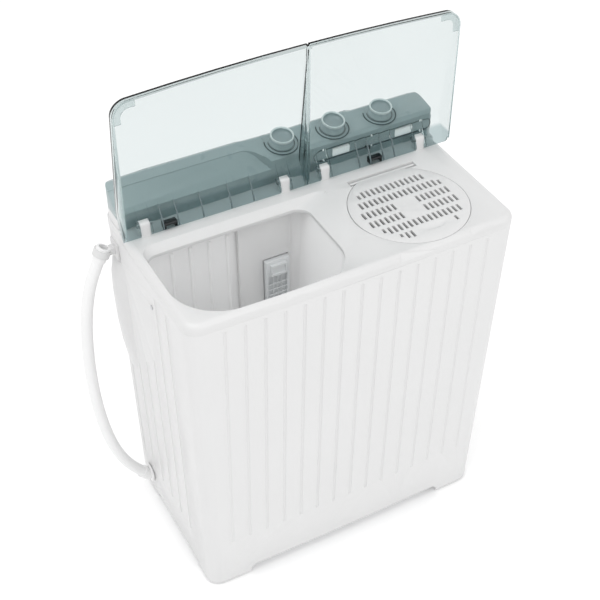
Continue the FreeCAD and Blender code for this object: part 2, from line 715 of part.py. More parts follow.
def front_apron(gap):
    """The thin strip of the panel below its skirt, between the console's rounded ends."""
    low, high = APRON_LOW_Z - gap, PANEL_LOW_Z + 0.5
    return box(-290 - gap, 290 + gap, CONSOLE_FRONT_Y, CONSOLE_FRONT_Y + 2.4 + gap, low, high)


def control_panel():
    """The tinted panel: a cap over the console with a short front skirt."""
    cap = console_block(0, PANEL_LOW_Z).cut(scoop(0))
    hollow = console_block(PANEL_SKIN, PANEL_LOW_Z - 1).cut(scoop(PANEL_SKIN))
    cap = cap.cut(hollow).fuse(front_apron(0)).removeSplitter()
    cuts = []
    for x in (114.5, 240.0):
        cuts.append(box(x - 18, x + 18, 95, CONSOLE_FRONT_Y + PANEL_SKIN, PANEL_LOW_Z - 1, 705))
    cuts.append(rod(2.6, (SPIN_STOP_X, 90, SWITCH_Z), Y_AXIS, 30))
    for x in KNOB_XS:
        cuts.append(along(x, SPINDLE_R + 1.2, -12, 30))
        cuts.append(along(x, RING_R_OUT, -0.8, 10).cut(along(x, RING_R_IN, -2, 14)))
    return cap.cut(cuts)


def dial_rings():
    """Dark index rings let into the panel round the knobs."""
    out = []
    for x in KNOB_XS:
        ring = along(x, RING_R_OUT - 0.05, -0.75, 1.15).cut(along(x, RING_R_IN + 0.05, -2, 6))
        out.append(ring)
    return group(out)


def console_housing():
    """The white body of the console behind the lids, under the panel."""
    gap = 0.2
    outer = console_block(PANEL_SKIN + gap, DECK_TOP).cut(scoop(PANEL_SKIN + gap))
    skirt = console_block(0, DECK_TOP).common(box(-400, 400, 90, 200, DECK_TOP, PANEL_LOW_Z - gap))
    solid = outer.fuse(skirt).cut(front_apron(gap))
    inner = console_block(PANEL_SKIN + gap + 2.5, DECK_TOP - 1).cut(scoop(PANEL_SKIN + gap + 2.5))
    body = solid.cut(inner).removeSplitter()
    cuts = [along(x, SPINDLE_R + 1.2, -20, 40) for x in KNOB_XS]
    cuts.append(rod(2.6, (SPIN_STOP_X, 90, SWITCH_Z), Y_AXIS, 30))
    return body.cut(cuts)


def knob(x):
    """A dished knob: waisted skirt, pale rim and a hollow top."""
    h, r = KNOB_H, KNOB_R
    points = [(SPINDLE_R, 1.0), (r + 2.5, 1.0), (r + 2.5, 3.0), (r - 1.5, 10.0), (r - 1.5, h - 3)]
    points += [(r, h - 1), (r, h), (r - 2, h), (r - 3.5, h - 8), (4.5, h - 10), (SPINDLE_R, h - 10)]
    body = turned(points, 0, 0)
    grips = []
    for number in range(24):
        angle = math.radians(number * 15)
        bar = rod(0.8, ((r - 1.2) * math.cos(angle), (r - 1.2) * math.sin(angle), 10), Z_AXIS, h - 13)
        grips.append(bar)
    body = fuse([body, rod(SPINDLE_R + 1.5, (0, 0, h - 11), Z_AXIS, 1.5)] + grips)
    return placed_on_panel(body, x)


def placed_on_panel(shape, x):
    """Moves a shape built about the origin onto a knob's axis."""
    centre, axis = knob_frame(x)
    turn = FreeCAD.Rotation(Z_AXIS, axis)
    shape = shape.copy()
    shape.Placement = FreeCAD.Placement(centre, turn)
    return shape


def spindle(x):
    """The shaft between a knob and its timer or switch."""
    return along(x, SPINDLE_R, -16, KNOB_H - 11 + 16)


def timer_body(x, half_w, depth):
    """A clockwork timer or rotary switch under the panel, with a bushing round its spindle."""
    case = box(-half_w, half_w, -16, 16, -9 - depth, -9.0)
    collar = rod(4.1, (0, 0, -9), Z_AXIS, 3)
    body = fuse([case, collar]).cut(rod(SPINDLE_R + RUN_GAP, (0, 0, -17), Z_AXIS, 30))
    return placed_on_panel(body, x)


# ---- tubs ----
def wash_tub():
    """The wash tub: a tapered moulded bowl with a flange and drain and shaft holes."""
    top, low = SEAM_Z, TUB_FLOOR_Z - TUB_WALL
    rect_top = (TUB_X0, TUB_X1, TUB_Y0, TUB_Y1)
    t = TUB_TAPER
    rect_low = (TUB_X0 + t, TUB_X1 - t, TUB_Y0 + t, TUB_Y1 - t)
    radii_low = [r - t for r in TUB_RADII]
    w = TUB_WALL
    outer = loft(grown(rect_low, radii_low, w, low), grown(rect_top, TUB_RADII, w, top))
    flange = plate(grown(rect_top, TUB_RADII, 4, top - 3), 3)
    inner = loft(grown(rect_low, radii_low, 0, TUB_FLOOR_Z), grown(rect_top, TUB_RADII, 0, top + 0.01))
    ribs = []
    for number in range(5):
        x = -262 + number * 34
        ribs.append(flute((x, TUB_Y1 - 3.2 - 8.5, 300), (x, TUB_Y1 - 0.2, 620)))
    body = outer.fuse(flange).cut(inner)
    body = body.fuse([r.common(inner) for r in ribs]).removeSplitter()
    holes = [rod(15, (PULS_X, PULS_Y, low - 1), Z_AXIS, 10), rod(13, (VALVE_X, 22, low - 1), Z_AXIS, 10)]
    return body.cut(holes)


def tub_rear_y(z):
    """Where the tub's tapering rear wall lies at a height."""
    return TUB_Y1 - TUB_TAPER * (SEAM_Z - z) / (SEAM_Z - TUB_FLOOR_Z)


def filter_channel_cover():
    """The removable plate of the circulation channel on the tub's rear wall, with slots near its foot."""
    low, high = COVER_LOW_Z, COVER_TOP_Z
    points = [(tub_rear_y(low) - 1.5, low), (tub_rear_y(high) - 1.5, high)]
    points += [(tub_rear_y(high) - 9, high), (tub_rear_y(low) - 9, low)]
    cover = prism_x(points, COVER_X0, COVER_X1)
    cuts = [box(FILTER_X0 - 1.5, FILTER_X1 + 1.5, 40, 80, FILTER_LOW_Z - 2, FILTER_TOP_Z + 2)]
    for number in range(7):
        x = COVER_X0 + 8 + number * 12
        cuts.append(box(x, x + 4, 30, 80, 245, 300))
    return cover.cut(cuts)


def lint_filter():
    """The lint filter: a framed net box hooked at its foot, with a latch at its head."""
    x0, x1, z0, z1 = FILTER_X0, FILTER_X1, FILTER_LOW_Z, FILTER_TOP_Z
    frame = box(x0, x1, 46.5, 56.5, z0, z1)
    frame = frame.cut(box(x0 + 4.5, x1 - 4.5, 40, 53, z0 + 8, z1 - 33))
    rows = int((z1 - z0 - 60) / 12)
    bars = [box(x0 + 4, x1 - 4, 48, 50, z0 + 20 + 12 * n, z0 + 21.4 + 12 * n) for n in range(rows)]
    bars += [box(x, x + 1.4, 48, 50, z0 + 7, z1 - 32) for x in (x0 + 14, x0 + 22.3, x0 + 30.6)]
    mid = (x0 + x1) / 2
    latch = box(mid - 15, mid + 15, 41.5, 47, z1 - 30, z1 - 6)
    latch = latch.cut(box(mid - 13, mid + 13, 40, 44, z1 - 26, z1 - 11))
    return fuse([frame, latch] + bars)


def pulsator():
    """The ribbed rotor at the tub floor."""
    z = TUB_FLOOR_Z + 3.5
    points = [(21, z + 9), (26, z), (PULS_R, z), (PULS_R, z + 4), (40, z + 13), (18, z + 26), (9, z + 28.5)]
    points += [(9, z + 26), (4, z + 26), (4, z + 18), (SHAFT_R, z + 18), (SHAFT_R, z + 9)]
    body = turned(points, PULS_X, PULS_Y)
    fins = []
    for number in range(6):
        profile = [V(16, 0, z + 4), V(PULS_R - 4, 0, z + 3), V(PULS_R - 5, 0, z + 12), V(22, 0, z + 28)]
        fin = Part.Face(Part.makePolygon(profile + [profile[0]])).extrude(V(0, 5, 0))
        fin.translate(V(0, -2.5, 0))
        fin.rotate(V(0, 0, 0), Z_AXIS, 60 * number)
        fin.translate(V(PULS_X, PULS_Y, 0))
        fins.append(fin)
    return fuse([body] + fins)


def pulsator_screw():
    """The screw that holds the pulsator on its shaft."""
    z = TUB_FLOOR_Z + 3.5 + 26
    return fuse([
        rod(2.5, (PULS_X, PULS_Y, z - 18), Z_AXIS, 18),
        rod(7.5, (PULS_X, PULS_Y, z), Z_AXIS, 3).cut(rod(2.2, (PULS_X, PULS_Y, z + 1.5), Z_AXIS, 3)),
    ])


def wash_shaft():
    """The shaft from the large pulley up to the pulsator."""
    top = TUB_FLOOR_Z + 3.5 + 18
    shaft = rod(SHAFT_R, (PULS_X, PULS_Y, 118), Z_AXIS, top - 118)
    return shaft.cut(rod(2.5, (PULS_X, PULS_Y, top - 10.5), Z_AXIS, 20))


def wash_bearing_housing():
    """The flanged housing bolted under the tub."""
    floor = TUB_FLOOR_Z - TUB_WALL
    points = [(9, 146), (15, 146), (15, 190), (46, floor - 5), (46, floor), (15, floor)]
    points += [(15, 225), (9, 225)]
    return turned(points, PULS_X, PULS_Y)


def wash_shaft_bushes():
    """Two plain bearings in the housing."""
    return group([tube(9, SHAFT_R + RUN_GAP, PULS_X, PULS_Y, z, z + 18) for z in (148, 190)])


def wash_shaft_seal():
    """The lip seal above the bearings."""
    return tube(9, SHAFT_R + RUN_GAP * 2, PULS_X, PULS_Y, 216, 224)


def pulley(x, y, r, bore, hub_r):
    """A belt pulley with a rim groove and lightening holes where there is room."""
    h = BELT_H + 6
    z = BELT_Z - h / 2
    groove = tube(r + 2, r - 6, x, y, BELT_Z - BELT_H / 2, BELT_Z + BELT_H / 2)
    body = rod(r, (x, y, z), Z_AXIS, h).cut(groove)
    cuts = [rod(bore, (x, y, z - 1), Z_AXIS, h + 2)]
    if r > 40:
        for side in (z - 1, z + h - 4):
            cuts.append(tube(r - 12, hub_r, x, y, side, side + 5))
        for number in range(5):
            angle = math.radians(72 * number)
            at = (x + 38 * math.cos(angle), y + 38 * math.sin(angle), z - 1)
            cuts.append(rod(11, at, Z_AXIS, h + 2))
    return body.cut(cuts)


def drive_belt():
    """The belt between the two pulleys."""
    r1, r2 = WASH_PULLEY_R - 5.6, MOTOR_PULLEY_R - 5.6
    h, t = BELT_H - 1, 5.0
    z = BELT_Z - h / 2

    def loop(grow):
        span = WASH_MOTOR_X - PULS_X
        lean = math.acos((r1 - r2) / span)
        a, b = r1 + grow, r2 + grow
        c, s = math.cos(lean), math.sin(lean)
        p1, p2 = V(PULS_X + a * c, PULS_Y + a * s, z), V(PULS_X + a * c, PULS_Y - a * s, z)
        q1, q2 = V(WASH_MOTOR_X + b * c, PULS_Y + b * s, z), V(WASH_MOTOR_X + b * c, PULS_Y - b * s, z)
        far, near = V(PULS_X - a, PULS_Y, z), V(WASH_MOTOR_X + b, PULS_Y, z)
        edges = [Part.Arc(p1, far, p2).toShape(), Part.LineSegment(p2, q2).toShape()]
        edges += [Part.Arc(q2, near, q1).toShape(), Part.LineSegment(q1, p1).toShape()]
        return plate(Part.Wire(edges), h)

    return loop(t).cut(loop(0))


def wash_motor():
    """The wash motor: finned stator between two end bells."""
    x, y, r = WASH_MOTOR_X, PULS_Y, WASH_MOTOR_R
    body = fuse([
        rod(r, (x, y, 52), Z_AXIS, 42),
        turned([(0, 31), (r - 12, 31), (r - 4, 52), (0, 52)], x, y),
        turned([(0, 94), (r - 4, 94), (r - 14, 110), (12, 113), (0, 113)], x, y),
    ])
    return body.cut(rod(5 + RUN_GAP, (x, y, 80), Z_AXIS, 60))


def wash_motor_shaft():
    """The wash motor's output shaft."""
    return rod(5, (WASH_MOTOR_X, PULS_Y, 81), Z_AXIS, 60)


def wash_motor_bracket():
    """The bent steel cradle that stands the wash motor on the base."""
    x, y = WASH_MOTOR_X, PULS_Y
    parts = [box(x - 50, x + 50, y - 30, y + 30, 28.2, 31)]
    for side in (-1, 1):
        a, b = sorted((x + side * 50, x + side * 53))
        parts.append(box(a, b, y - 30, y + 30, 28.2, 72))
    return fuse(parts)


def spin_outer_tub():
    """The fixed drum round the basket."""
    r, w = SPIN_TUB_R, SPIN_TUB_WALL
    low = TUB_FLOOR_Z - w
    top = SEAM_Z - 0.5
    body = turned([(0, low), (SPIN_TUB_LOW_R, low), (r, top), (0, top)], SPIN_X, SPIN_Y)
    cuts = [
        turned([(0, TUB_FLOOR_Z), (SPIN_TUB_LOW_R - w, TUB_FLOOR_Z), (r - w, top), (0, top)], SPIN_X, SPIN_Y),
        rod(34, (SPIN_X, SPIN_Y, low - 1), Z_AXIS, 10),
        rod(10, (SPIN_X - 40, SPIN_Y + 68, low - 1), Z_AXIS, 10),
    ]
    return body.cut(cuts)


def spin_bellows_seal():
    """The rubber bellows between the drum and the spinning shaft."""
    low = TUB_FLOOR_Z - SPIN_TUB_WALL
    points = [(34, low), (34, low + 5), (30, low + 5), (27, low - 8), (21, low - 2)]
    points += [(16, low - 12), (6.5, low - 12)]
    points += [(6.5, low - 15), (17.5, low - 15), (21.5, low - 5), (28, low - 12), (31, low)]
    return turned(points, SPIN_X, SPIN_Y)


def spin_basket():
    """The perforated steel basket with a rolled rim and a hub."""
    r, w = BASKET_R, BASKET_WALL
    points = [(SHAFT_R, 228), (22, 228), (26, BASKET_LOW_Z), (r, BASKET_LOW_Z), (r, BASKET_TOP_Z)]
    points += [(r - 4, BASKET_TOP_Z + 3), (r - 9, BASKET_TOP_Z + 3)]
    points += [(r - 9, BASKET_TOP_Z), (r - w - 1, BASKET_TOP_Z - 3)]
    points += [(r - w, BASKET_TOP_Z - 6), (r - w, BASKET_LOW_Z + w + 2), (20, BASKET_LOW_Z + w + 4)]
    points += [(16, 252), (SHAFT_R, 252)]
    body = turned(points, SPIN_X, SPIN_Y)
    cuts = []
    for row in range(7):
        for number in range(8):
            angle = math.radians(22.5 * number + 11.25 * (row % 2))
            d = V(math.cos(angle), math.sin(angle), 0)
            start = V(SPIN_X, SPIN_Y, 280 + row * 50) - d * 110
            cuts.append(Part.makeCylinder(3.2, 220, start, d))
    return body.cut(cuts)


def spin_shaft():
    """The spin motor's long shaft up into the basket's hub, with a nut."""
    return fuse([
        rod(SHAFT_R, (SPIN_X, SPIN_Y, 110), Z_AXIS, 152),
        rod(10, (SPIN_X, SPIN_Y, 252), Z_AXIS, 7),
    ])


def brake_drum():
    """The drum that the brake pad grips."""
    points = [(SHAFT_R, 160), (12, 160), (12, 164), (DRUM_R, 164), (DRUM_R, 182), (DRUM_R - 4, 182)]
    points += [(DRUM_R - 4, 168), (SHAFT_R, 168)]
    return turned(points, SPIN_X, SPIN_Y)


BRAKE_PIVOT = (SPIN_X - 40, SPIN_Y + 44)


def brake_lever():
    """The brake arm with its flat block, on the motor's top bell."""
    px, py = BRAKE_PIVOT
    arm = box(px - 7, SPIN_X - DRUM_R - 5.5, py - 72, py + 8, 170, 173)
    pad = box(SPIN_X - DRUM_R - 7, SPIN_X - DRUM_R - 0.35, SPIN_Y - 10, SPIN_Y + 10, 166, 180)
    boss = rod(7, (px, py, 168), Z_AXIS, 7)
    return fuse([arm, pad, boss]).cut(rod(3 + RUN_GAP, (px, py, 150), Z_AXIS, 50))


def spin_motor():
    """The spin motor with the brake pivot stud on its top bell."""
    x, y, r = SPIN_X, SPIN_Y, SPIN_MOTOR_R
    px, py = BRAKE_PIVOT
    body = fuse([
        rod(r, (x, y, 82), Z_AXIS, 48),
        turned([(0, 60), (r - 12, 60), (r - 3, 82), (0, 82)], x, y),
        turned([(0, 130), (r - 3, 130), (r - 12, 146), (14, 152), (0, 152)], x, y),
        box(px - 10, px + 10, py - 22, py + 10, 140, 144),
        rod(3, (px, py, 142), Z_AXIS, 38),
    ])
    return body.cut(rod(SHAFT_R + RUN_GAP, (x, y, 109), Z_AXIS, 60))


SPIN_MOUNT_ANGLES = (90, 210, 330)


def spin_motor_plate():
    """The plate that the spin motor is bolted to."""
    return rod(66, (SPIN_X, SPIN_Y, 57), Z_AXIS, 3)


def spin_motor_mounts():
    """Rubber-sleeved springs between the plate and the base."""
    out = []
    for angle in SPIN_MOUNT_ANGLES:
        a = math.radians(angle)
        x, y = SPIN_X + 50 * math.cos(a), SPIN_Y + 50 * math.sin(a)
        points = [(0, 28), (13, 28), (13, 31)]
        for fold in range(3):
            z = 31 + fold * 7.5
            points += [(10, z + 1.5), (13, z + 5)]
        points += [(10, 54), (12, 57), (0, 57)]
        out.append(turned(points, x, y))
    return group(out)


# ---- drain ----
def drain_valve_body():
    """The valve chamber behind the wash tub, joined to the tub's drain hole by a flat duct."""
    x, y = VALVE_X, VALVE_Y
    top = TUB_FLOOR_Z - TUB_WALL
    duct = box(x - 20, x + 20, 5, y, 185, top)
    chamber = rod(24, (x, y, 172), Z_AXIS, 73)
    hollow = [box(x - 17, x + 17, 8, y, 188, top - 3), rod(21, (x, y, 176), Z_AXIS, 66)]
    hollow.append(rod(13, (x, 22, top - 4), Z_AXIS, 10))
    hollow.append(rod(3.2, (x, y, 240), Z_AXIS, 10))
    hollow.append(rod(12, (x - 40, y, 188), X_AXIS, 40))
    return fuse([duct, chamber]).cut(hollow)


def drain_valve_plunger():
    """The rubber plunger and its stem. It lifts to let the wash water out."""
    points = [(0, 176.3), (19, 176.3), (19, 181), (12, 186), (3, 188), (3, 262), (0, 262)]
    return turned(points, VALVE_X, VALVE_Y)


def pipe(points, r_out, r_in):
    """A rigid pipe of straight runs with rounded elbows."""
    outer, inner = [], []
    ends = [V(*p) for p in points]
    for number, (a, b) in enumerate(zip(ends, ends[1:])):
        run = b - a
        outer.append(Part.makeCylinder(r_out, run.Length, a, run))
        first, last = number == 0, number == len(ends) - 2
        unit = V(run.x, run.y, run.z).normalize()
        start = a - unit * (1 if first else 0)
        length = run.Length + (1 if first else 0) + (1 if last else 0)
        inner.append(Part.makeCylinder(r_in, length, start, run))
        if not first:
            outer.append(Part.makeSphere(r_out, a))
            inner.append(Part.makeSphere(r_in, a))
    return fuse(outer).cut(fuse(inner))


def drain_pipe():
    """The pipe from the valve to the outlet on the left side."""
    x = VALVE_X - 24
    route = [(x, VALVE_Y, 188), (-250, VALVE_Y, 188), (-250, OUTLET_Y, OUTLET_Z), (-276, OUTLET_Y, OUTLET_Z)]
    return pipe(route, 14, 12)


def drain_outlet():
    """The elbow spigot that the drain hose is pushed onto."""
    y, z = OUTLET_Y, OUTLET_Z
    start, after = V(*HOSE_ROUTE[0]), V(*HOSE_ROUTE[1])
    way = (start - after).normalize()
    bend = V(-296, y, z)
    reach = (bend - start).Length
    outside = [rod(13.8, (-290, y, z), X_AXIS, 14), rod(18, (-294, y, z), X_AXIS, 3.6)]
    outside += [rod(12.5, (-296, y, z), X_AXIS, 10), Part.makeSphere(12.5, bend)]
    outside.append(Part.makeCylinder(12.5, reach, start, way))
    inside = [rod(8, (-296, y, z), X_AXIS, 40), Part.makeSphere(8, bend)]
    inside.append(Part.makeCylinder(8, reach + 1, start - way, way))
    return fuse(outside).cut(fuse(inside))


def cord_tube(route, r):
    """A flexible tube along straight runs joined by tangent arcs. Prints every radius."""
    points = [V(*p) for p in route]
    edges = []
    start = points[0]
    radii = []
    length = 0.0
    for a, b, c in zip(points, points[1:], points[2:]):
        into, out = b - a, c - b
        turn = into.getAngle(out)
        radius = 0.45 * min(into.Length, out.Length) / math.tan(turn / 2)
        back = radius * math.tan(turn / 2)
        u, w = V(into).normalize(), V(out).normalize()
        p, q = b - u * back, b + w * back
        bisector = (w - u).normalize()
        centre_far = radius / math.cos(turn / 2)
        middle = b + bisector * (centre_far - radius)
        edges.append(Part.LineSegment(start, p).toShape())
        edges.append(Part.Arc(p, middle, q).toShape())
        start = q
        radii.append(radius)
    edges.append(Part.LineSegment(start, points[-1]).toShape())
    path = Part.Wire(edges)
    for edge in edges:
        length += edge.Length
    ring = Part.Wire(Part.Circle(points[0], points[1] - points[0], r).toShape())
    solid = path.makePipeShell([ring], True, False)
    print("hose radii", [round(v) for v in radii], "length", round(length, 1))
    print("hose volume ratio", round(solid.Volume / (math.pi * r * r * length), 4))
    return solid


def drain_hose():
    """The drain hose, from the outlet up to the clip."""
    return cord_tube(HOSE_ROUTE, HOSE_R)


def hose_end():
    """The hose's last point, and its direction there."""
    last, before = V(*HOSE_ROUTE[-1]), V(*HOSE_ROUTE[-2])
    return last, (last - before).normalize()


def hose_end_fitting():
    """The stiff sleeve at the hose's free end."""
    at, way = hose_end()
    sleeve = Part.makeCylinder(12.0, 26, at, way)
    return sleeve.cut(Part.makeCylinder(8.5, 40, at - way * 2, way))


def hose_clip():
    """The holder on the casing that parks the hose's end."""
    at, way = hose_end()
    band = Part.makeCylinder(15.0, 12, at + way * 9, way)
    side_x = -CASE_HALF_W + case_inset(620)
    stem = box(-320, side_x - 0.3, at.y - 7, at.y + 7, 608, 620)
    foot = box(side_x - 3.8, side_x - 0.3, at.y - 15, at.y + 15, 598, 630)
    body = fuse([band, stem, foot])
    casing = loft(case_wire(500, -0.1), case_wire(700, -0.1))
    return body.cut([casing, Part.makeCylinder(12.0, 60, at - way * 5, way)])


# ---- wiring and controls ----
def pipe_rod(points, r):
    """A thin solid line of rods with ball joints."""
    ends = [V(*p) for p in points]
    parts = []
    for number, (a, b) in enumerate(zip(ends, ends[1:])):
        parts.append(Part.makeCylinder(r, (b - a).Length, a, b - a))
        if number:
            parts.append(Part.makeSphere(r, a))
    return fuse(parts)


def wiring_harness():
    """The main loom from the cord gland to the timers, switch and motors."""
    trunk = [(GLAND_X, 140, GLAND_Z), (GLAND_X, 128, 180), (262, 128, 600)]
    trunk += [(240, 140, 660), (225, 150, 684), (60, 150, 684)]
    low = [(262, 128, 180), (210, 100, 130), (96, 60, 70), (60, 20, 62)]
    return fuse([pipe_rod(trunk, 3.2), pipe_rod(low, 2.6)])


def cord_gland():
    """The gland where the power cord enters."""
    inner = CASE_HALF_D - CASE_WALL
    body = rod(8.9, (GLAND_X, inner - 4, GLAND_Z), Y_AXIS, 4 + CASE_WALL)
    flange = rod(12, (GLAND_X, CASE_HALF_D, GLAND_Z), Y_AXIS, 2.5)
    return fuse([body, flange]).cut(rod(3.6, (GLAND_X, 100, GLAND_Z), Y_AXIS, 80))


def lid_switch():
    """The safety switch behind the spin lid's hinge."""
    x, y, z = SPIN_STOP_X, CONSOLE_FRONT_Y + 7, SWITCH_Z
    body = box(x - 14, x + 14, y, y + 12, z - 9, z + 5)
    return body.cut(rod(2.05, (x, y - 5, z), Y_AXIS, 14))


def lid_switch_plunger():
    """The switch's button, pressed by the spin lid."""
    return rod(2.0, (SPIN_STOP_X, 96.2, SWITCH_Z), Y_AXIS, 20.4)


NODES = {
    "outer_casing": outer_casing,
    "rear_cover": rear_cover,
    "casing_screws": casing_screws,
    "cord_gland": cord_gland,
    "base_tray": base_tray,
    "foot_pads": foot_pads,
    "top_deck": top_deck,
    "wash_lid": lambda: lid(*WASH_LID_X, WASH_POSTS, WASH_RIBS, WASH_STOP_X),
    "spin_lid": lambda: lid(*SPIN_LID_X, SPIN_POSTS, SPIN_RIBS, SPIN_STOP_X),
    "wash_lid_stop": lambda: lid_stop(WASH_STOP_X),
    "spin_lid_cam": lambda: lid_stop(SPIN_STOP_X),
    "wash_lid_pins": lambda: lid_pins(WASH_POSTS),
    "spin_lid_pins": lambda: lid_pins(SPIN_POSTS),
    "spin_grille_lid": spin_grille_lid,
    "control_panel": control_panel,
    "dial_rings": dial_rings,
    "console_housing": console_housing,
    "wash_timer_knob": lambda: knob(KNOB_XS[0]),
    "drain_selector_knob": lambda: knob(KNOB_XS[1]),
    "spin_timer_knob": lambda: knob(KNOB_XS[2]),
    "wash_timer_spindle": lambda: spindle(KNOB_XS[0]),
    "drain_selector_spindle": lambda: spindle(KNOB_XS[1]),
    "spin_timer_spindle": lambda: spindle(KNOB_XS[2]),
    "wash_timer": lambda: timer_body(KNOB_XS[0], 24, 20),
    "drain_selector": lambda: timer_body(KNOB_XS[1], 18, 12),
    "spin_timer": lambda: timer_body(KNOB_XS[2], 22, 20),
    "wash_tub": wash_tub,
    "filter_channel_cover": filter_channel_cover,
    "lint_filter": lint_filter,
    "pulsator": pulsator,
    "pulsator_screw": pulsator_screw,
    "wash_shaft": wash_shaft,
    "wash_bearing_housing": wash_bearing_housing,
    "wash_shaft_bushes": wash_shaft_bushes,
    "wash_shaft_seal": wash_shaft_seal,
    "wash_pulley": lambda: pulley(PULS_X, PULS_Y, WASH_PULLEY_R, SHAFT_R, 16),
    "wash_motor_pulley": lambda: pulley(WASH_MOTOR_X, PULS_Y, MOTOR_PULLEY_R, 5, 10),
    "drive_belt": drive_belt,
    "wash_motor": wash_motor,
    "wash_motor_shaft": wash_motor_shaft,
    "wash_motor_bracket": wash_motor_bracket,
    "spin_outer_tub": spin_outer_tub,
    "spin_bellows_seal": spin_bellows_seal,
    "spin_basket": spin_basket,
    "spin_shaft": spin_shaft,
    "brake_drum": brake_drum,
    "brake_lever": brake_lever,
    "spin_motor": spin_motor,
    "spin_motor_plate": spin_motor_plate,
    "spin_motor_mounts": spin_motor_mounts,
    "drain_valve_body": drain_valve_body,
    "drain_valve_plunger": drain_valve_plunger,
    "drain_pipe": drain_pipe,
    "drain_outlet": drain_outlet,
    "drain_hose": drain_hose,
    "hose_end_fitting": hose_end_fitting,
    "hose_clip": hose_clip,
    "wiring_harness": wiring_harness,
    "lid_switch": lid_switch,
    "lid_switch_plunger": lid_switch_plunger,
}


def main():
    """Writes one STEP file for each node."""
    os.makedirs("parts", exist_ok=True)
    for name, make in NODES.items():
        shape = make()
        sound = shape.isValid() and all(s.isClosed() for s in shape.Shells)
        print(f"{name:24} solids {len(shape.Solids):2d} faces {len(shape.Faces):4d} sound {sound}")
        shape.exportStep(f"parts/{name}.step")


main()
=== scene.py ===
"""The looks of a twin-tub washing machine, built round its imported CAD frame."""

import json
import math

import bmesh
import bpy
from mathutils import Matrix, Vector

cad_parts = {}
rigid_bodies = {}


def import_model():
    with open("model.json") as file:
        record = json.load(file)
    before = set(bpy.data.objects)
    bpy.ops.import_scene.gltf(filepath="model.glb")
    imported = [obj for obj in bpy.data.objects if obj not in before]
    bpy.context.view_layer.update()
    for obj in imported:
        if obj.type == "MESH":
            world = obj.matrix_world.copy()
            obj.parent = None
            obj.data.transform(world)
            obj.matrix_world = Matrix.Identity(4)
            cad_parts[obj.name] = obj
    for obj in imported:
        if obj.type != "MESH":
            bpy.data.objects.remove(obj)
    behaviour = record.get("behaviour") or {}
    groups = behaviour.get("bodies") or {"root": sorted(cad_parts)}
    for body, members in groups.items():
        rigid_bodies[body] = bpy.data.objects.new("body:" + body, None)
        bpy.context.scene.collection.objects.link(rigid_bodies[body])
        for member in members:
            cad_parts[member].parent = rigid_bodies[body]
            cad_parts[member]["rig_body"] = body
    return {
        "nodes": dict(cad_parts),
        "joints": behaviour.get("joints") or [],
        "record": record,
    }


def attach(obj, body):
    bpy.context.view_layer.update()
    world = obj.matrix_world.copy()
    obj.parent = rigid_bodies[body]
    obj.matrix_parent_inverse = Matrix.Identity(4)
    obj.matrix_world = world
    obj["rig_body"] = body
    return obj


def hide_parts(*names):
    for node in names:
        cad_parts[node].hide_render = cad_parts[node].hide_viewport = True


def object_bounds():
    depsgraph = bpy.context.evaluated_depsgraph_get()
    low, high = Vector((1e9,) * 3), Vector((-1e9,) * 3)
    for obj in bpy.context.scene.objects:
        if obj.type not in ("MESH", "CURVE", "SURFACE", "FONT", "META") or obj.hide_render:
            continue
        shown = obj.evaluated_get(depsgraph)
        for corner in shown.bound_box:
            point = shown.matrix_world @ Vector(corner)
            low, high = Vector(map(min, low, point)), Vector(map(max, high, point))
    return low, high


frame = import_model()
NODES = frame["nodes"]
JOINTS = {j["name"]: j for j in frame["joints"]}
SLOTS = {s["node"]: s["material_slot"] for s in frame["record"]["subparts"]}
CAD_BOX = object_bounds()
Z_AXIS = Vector((0, 0, 1))


# ---- camera ----
CAMERA_ANGLES = (28.50, 41.61, 0.28)      # azimuth, elevation and roll, in degrees
CAMERA_PLACE = (-0.7813, -1.3990, 1.9000)


def make_camera():
    """The main view: from left of the front, well above the lids."""
    azimuth, elevation, roll = (math.radians(a) for a in CAMERA_ANGLES)
    forward = Vector((
        math.sin(azimuth) * math.cos(elevation),
        math.cos(azimuth) * math.cos(elevation),
        -math.sin(elevation),
    ))
    right = forward.cross(Z_AXIS).normalized()
    up = right.cross(forward)
    x = right * math.cos(roll) + up * math.sin(roll)
    y = up * math.cos(roll) - right * math.sin(roll)
    data = bpy.data.cameras.new("camera")
    data.sensor_width = 36.0
    data.lens = 73.0
    data.clip_end = 60.0
    camera = bpy.data.objects.new("camera", data)
    bpy.context.scene.collection.objects.link(camera)
    turn = Matrix((x, y, -forward)).transposed().to_4x4()
    camera.matrix_world = Matrix.Translation(CAMERA_PLACE) @ turn
    bpy.context.scene.camera = camera


# ---- materials ----
def node(tree, kind, **sockets):
    """A shader node with its sockets set by name."""
    made = tree.nodes.new(kind)
    for name, value in sockets.items():
        made.inputs[name.replace("_", " ")].default_value = value
    return made


def noise(tree, scale, detail=3.0, stretch=None):
    """A noise in object space, in metres."""
    coords = tree.nodes.new("ShaderNodeTexCoord")
    out = coords.outputs["Object"]
    if stretch:
        mapping = node(tree, "ShaderNodeMapping", Scale=stretch)
        tree.links.new(out, mapping.inputs["Vector"])
        out = mapping.outputs["Vector"]
    made = node(tree, "ShaderNodeTexNoise", Scale=scale, Detail=detail)
    tree.links.new(out, made.inputs["Vector"])
    return made.outputs["Fac"]


def ranged(tree, source, low, high):
    """A 0 to 1 signal stretched to a range."""
    made = node(tree, "ShaderNodeMapRange", From_Min=0.3, From_Max=0.7, To_Min=low, To_Max=high)
    tree.links.new(source, made.inputs["Value"])
    return made.outputs["Result"]


def blended(tree, factor, a, b):
    """A colour between a and b."""
    made = tree.nodes.new("ShaderNodeMix")
    made.data_type = "RGBA"
    made.inputs["A"].default_value = (*a, 1)
    made.inputs["B"].default_value = (*b, 1)
    tree.links.new(factor, made.inputs["Factor"])
    return made.outputs["Result"]


def shade(colour, by):
    """A colour made lighter or darker."""
    return tuple(min(1.0, c * by) for c in colour)


